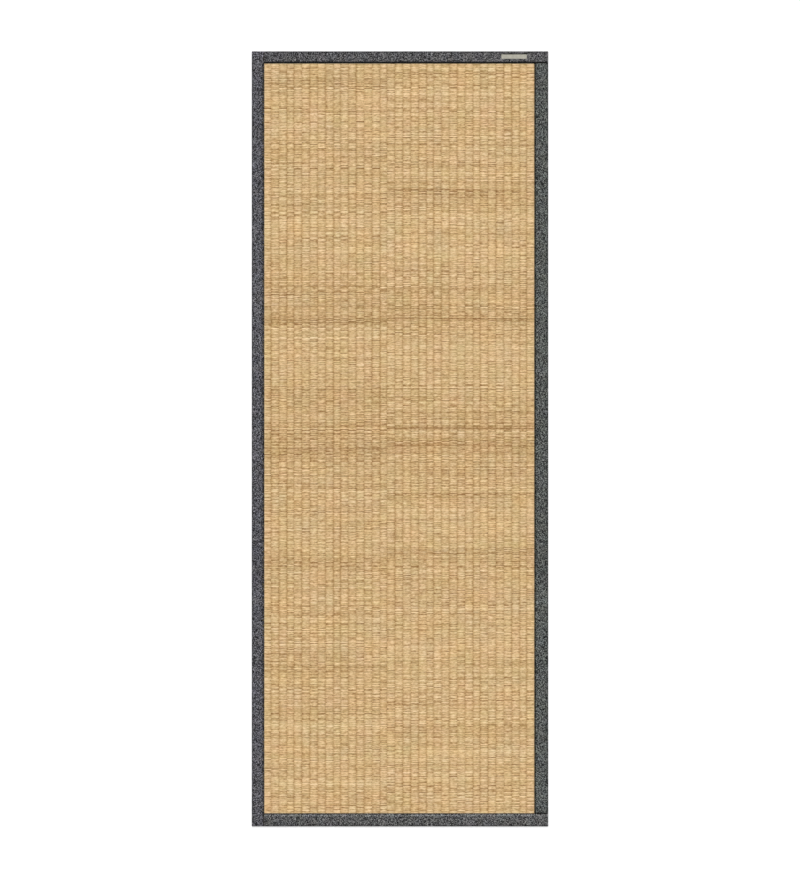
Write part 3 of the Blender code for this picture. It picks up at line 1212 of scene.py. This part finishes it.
def label():
    """A blank woven tab, tacked at its ends and whipped along its upper edge."""
    low, high = LABEL_BOX
    piece = label_tab(low, high)
    steps = np.array((0.0, 0.2, 0.8, 1.0))
    tack_z = LABEL_SEAT + 0.00075 + np.array((0.0, 0.0002, 0.0002, 0.0))
    tack_y = np.linspace(low[1] + 0.0008, high[1] - 0.0008, TACKS + 1)[:-1]
    paths = [
        (np.full(4, x), y + 0.0002 + 0.0012 * steps, tack_z)
        for x in (low[0] + TACK_INSET, high[0] - TACK_INSET)
        for y in tack_y
    ]
    pale = thread_finish("thread_pale", linear(120, 116, 106), linear(190, 186, 174))
    tacks = short_stitches("label_stitches", paths, 0.0004, pale)
    whip_y = high[1] + np.array((-0.0010, -0.0007, 0.0006, 0.0016))
    whip_z = LABEL_SEAT + np.array((0.0005, 0.0009, 0.0006, -0.0001))
    paths = [
        (x + 0.0004 * (steps - 0.5), whip_y, whip_z)
        for x in np.arange(low[0] + 0.0004, high[0], WHIP_SPACING)
    ]
    olive = thread_finish("thread_olive", linear(22, 24, 16), linear(58, 58, 44))
    whip = short_stitches("label_overcast", paths, 0.0006, olive)
    for made in (piece, tacks, whip):
        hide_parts("label")
    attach(piece, "root")


# Floor, light and camera

BACKDROP_AWAY = 40.0
LENS = 180.0
SENSOR = 36.0

# How far the camera stands lower, in pixels, to lay the rendered edges on the photograph's
LOWER_BY_PX = 0.16


def metres_per_pixel():
    return 2 * HALF_LENGTH / (MAT_ENDS_PX[1] - MAT_ENDS_PX[0])


def add_camera():
    """Straight above, far off with a long lens, framed as the photograph."""
    scale = metres_per_pixel()
    data = bpy.data.cameras.new("camera")
    data.lens = LENS
    data.sensor_width = SENSOR
    frame_height = PICTURE_SIZE[1] * scale
    camera = bpy.data.objects.new("camera", data)
    bpy.context.scene.collection.objects.link(camera)
    middle_y = (MAT_ENDS_PX[0] + MAT_ENDS_PX[1]) / 2 - PICTURE_SIZE[1] / 2 - LOWER_BY_PX
    middle_x = (MAT_SIDES_PX[0] + MAT_SIDES_PX[1]) / 2 - PICTURE_SIZE[0] / 2
    away = frame_height * LENS / SENSOR
    camera.location = (-middle_x * scale, middle_y * scale, away + CREST)
    data.clip_end = 4 * BACKDROP_AWAY
    bpy.context.scene.camera = camera


SUN_STRENGTH = 1.6
SUN_SPREAD = math.radians(28.0)
SUN_FROM = (-0.12, 0.95, 1.15)
SKY_STRENGTH = 0.62


def add_light():
    """Even white light from all round, and a soft sun from beyond the labelled end."""
    world = bpy.data.worlds.new("studio")
    world.use_nodes = True
    world.node_tree.nodes["Background"].inputs["Color"].default_value = (1.0, 1.0, 1.0, 1.0)
    world.node_tree.nodes["Background"].inputs["Strength"].default_value = SKY_STRENGTH
    bpy.context.scene.world = world
    data = bpy.data.lights.new("key", "SUN")
    data.energy = SUN_STRENGTH
    data.angle = SUN_SPREAD
    key = bpy.data.objects.new("key", data)
    bpy.context.scene.collection.objects.link(key)
    x, y, z = SUN_FROM
    key.rotation_euler = (math.atan2(math.hypot(x, y), z), 0.0, math.atan2(-x, y) + math.pi)


def stage_piece(name, bm, finish):
    mesh = bpy.data.meshes.new(name)
    bm.to_mesh(mesh)
    bm.free()
    mesh.materials.append(finish)
    piece = bpy.data.objects.new(name, mesh)
    bpy.context.scene.collection.objects.link(piece)
    return piece


def add_floor():
    """A white floor, and a white backdrop that only the camera sees, so it lights nothing."""
    bm = bmesh.new()
    bmesh.ops.create_grid(bm, x_segments=1, y_segments=1, size=BACKDROP_AWAY)
    floor = stage_piece("floor", bm, floor_finish())
    floor.location = (0.0, 0.0, -0.00005)
    white = Finish("backdrop", 1.0, Emission_Strength=1.0)
    white.shader.inputs["Base Color"].default_value = (0.0, 0.0, 0.0, 1.0)
    white.shader.inputs["Emission Color"].default_value = (1.0, 1.0, 1.0, 1.0)
    bm = bmesh.new()
    bmesh.ops.create_uvsphere(bm, u_segments=48, v_segments=24, radius=BACKDROP_AWAY * 1.5)
    backdrop = stage_piece("backdrop", bm, white.material)
    backdrop.visible_diffuse = False
    backdrop.visible_glossy = False
    backdrop.visible_shadow = False
    backdrop.visible_transmission = False


add_camera()
add_light()
add_floor()
weave_rush()
tape_strips()
label()
bpy.context.scene.view_settings.view_transform = "Standard"
